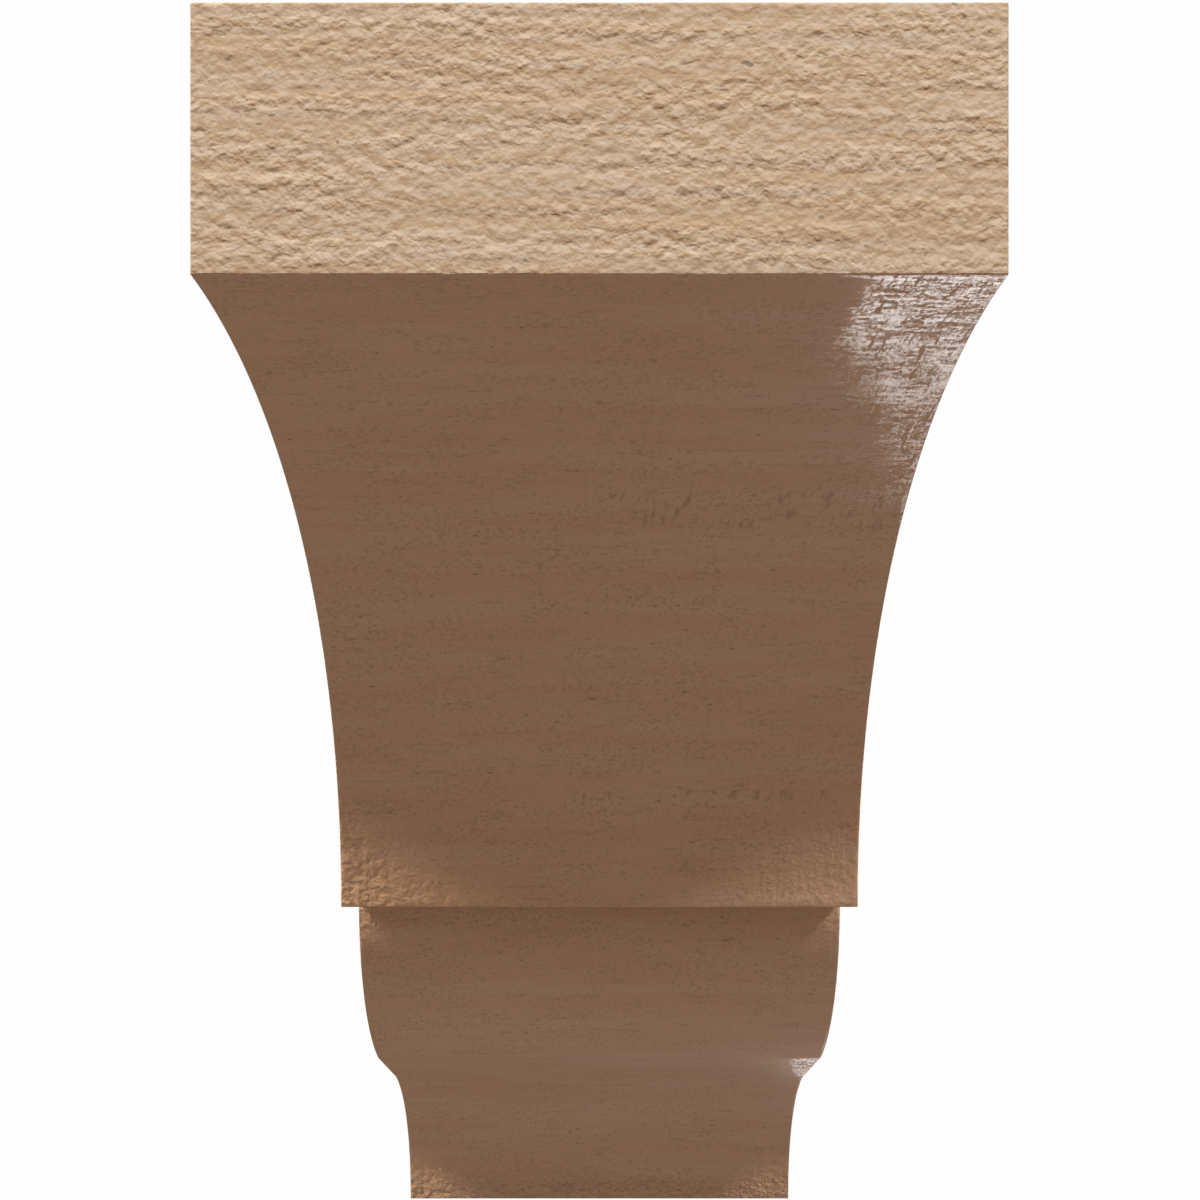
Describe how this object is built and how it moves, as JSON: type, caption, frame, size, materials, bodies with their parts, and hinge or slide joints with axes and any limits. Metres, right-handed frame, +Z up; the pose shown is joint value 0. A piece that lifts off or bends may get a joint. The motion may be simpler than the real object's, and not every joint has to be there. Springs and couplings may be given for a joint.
{
  "type": "urethane corbel",
  "caption": "Straight-sided wall corbel with a square nose, a quarter-round cove, a step and an ogee down to a flat foot, in the texture of rough-sawn timber.",
  "frame": {"origin": "centre of the flat back face, which stands against the wall", "axes": "+Y into the wall, so that the nose points to -Y; +Z up; +X across the width, to the right of someone who faces the wall"},
  "size_m": [0.1524, 0.3048, 0.3048],
  "materials": {
    "primed_urethane": "tan factory-primed urethane, satin, moulded in a rough-sawn timber texture"
  },
  "bodies": {
    "root": {"corbel_body": "primed_urethane"}
  },
  "joints": []
}
